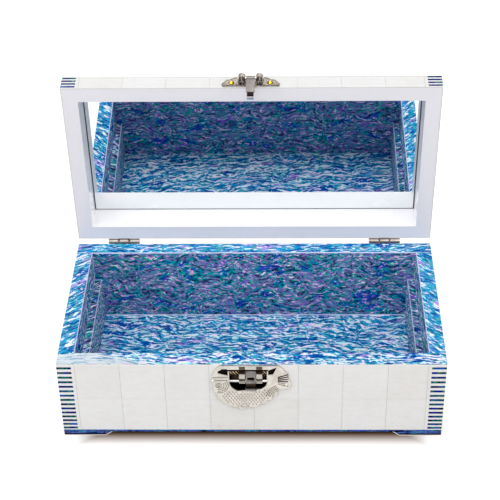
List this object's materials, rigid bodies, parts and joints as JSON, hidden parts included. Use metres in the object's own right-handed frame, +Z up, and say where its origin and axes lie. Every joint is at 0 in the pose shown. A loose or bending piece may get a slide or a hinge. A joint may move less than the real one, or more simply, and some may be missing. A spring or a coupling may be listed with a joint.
{
  "type": "mother of pearl jewelry box",
  "caption": "Shell-covered jewellery box with a raised hinged lid, a mirror inside the lid and a fish-shaped sprung clasp on the front.",
  "frame": {"origin": "on the table, under the middle of the open object's bounding box", "axes": "+X to the right along the front, the front with the clasp faces -Y, +Z up"},
  "size_m": [0.29, 0.1848, 0.2327],
  "materials": {
    "base_wood": "lacquered, faced with blue shell",
    "wall_wood": "bare board behind the shell",
    "lid_lacquer": "white high-gloss lacquer",
    "pearl_shell": "white mother of pearl, lacquered and polished",
    "dark_shell": "dark blue-green abalone shell, lacquered",
    "blue_shell": "blue abalone shell, lacquered",
    "blue_ledge": "wood strip faced with blue abalone shell",
    "mirror_glass": "silvered glass",
    "pin_brass": "polished",
    "hinge_steel": "nickel plated, dulled",
    "spring_steel": "bright",
    "clasp_nickel": "nickel plated, pressed relief"
  },
  "bodies": {
    "box": {"base_board": "base_wood", "base_band": "dark_shell", "foot_front_left": "base_wood", "foot_front_right": "base_wood", "foot_back_left": "base_wood", "foot_back_right": "base_wood", "front_wall": "wall_wood", "back_wall": "wall_wood", "left_wall": "wall_wood", "right_wall": "wall_wood", "front_facing": "pearl_shell", "back_facing": "pearl_shell", "left_facing": "pearl_shell", "right_facing": "pearl_shell", "corner_stripes_front_left": "dark_shell", "corner_stripes_front_right": "dark_shell", "corner_stripes_back_left": "dark_shell", "corner_stripes_back_right": "dark_shell", "rim_front": "blue_shell", "rim_back": "blue_shell", "rim_left": "blue_shell", "rim_right": "blue_shell", "floor_lining": "blue_shell", "front_lining": "blue_shell", "back_lining": "blue_shell", "left_lining": "blue_shell", "right_lining": "blue_shell", "left_ledge": "blue_ledge", "right_ledge": "blue_ledge", "fish_plate": "clasp_nickel", "fish_plate_pins": "clasp_nickel", "catch_box": "clasp_nickel", "catch_rod": "spring_steel", "hinge_lower_leaf_left": "hinge_steel", "hinge_lower_leaf_right": "hinge_steel", "hinge_pins": "hinge_steel", "hinge_screws_box": "hinge_steel"},
    "catch": {"catch_lever": "clasp_nickel", "catch_spring": "spring_steel"},
    "lid": {"lid_rail_front": "lid_lacquer", "lid_rail_back": "lid_lacquer", "lid_rail_left": "lid_lacquer", "lid_rail_right": "lid_lacquer", "lid_panel": "lid_lacquer", "mirror": "mirror_glass", "lid_top_tiles": "pearl_shell", "lid_bevel_tiles": "pearl_shell", "lid_front_facing": "pearl_shell", "lid_back_facing": "pearl_shell", "lid_left_facing": "pearl_shell", "lid_right_facing": "pearl_shell", "lid_corner_stripes": "dark_shell", "hinge_upper_leaf_left": "hinge_steel", "hinge_upper_leaf_right": "hinge_steel", "hinge_screws_lid": "hinge_steel", "hasp_plate": "clasp_nickel", "hasp_pins": "pin_brass", "hasp_axle": "spring_steel"},
    "hasp_arm": {"hasp_arm": "clasp_nickel"}
  },
  "joints": [
    {"name": "lid_hinge", "type": "hinge", "parent": "box", "child": "lid", "pos_m": [0, 0.06478, 0.07315], "axis": [1, 0, 0], "range_deg": [0, 85.3]},
    {"name": "hasp_swing", "type": "hinge", "parent": "lid", "child": "hasp_arm", "pos_m": [-0.0003, 0.05924, 0.23022], "axis": [1, 0, 0], "range_deg": [-150, 0]},
    {"name": "catch_pivot", "type": "hinge", "parent": "box", "child": "catch", "pos_m": [-0.0003, -0.08722, 0.0552], "axis": [1, 0, 0], "range_deg": [-20, 0], "stiffness_Nm_per_rad": 0.02, "springref_deg": 17.19}
  ]
}
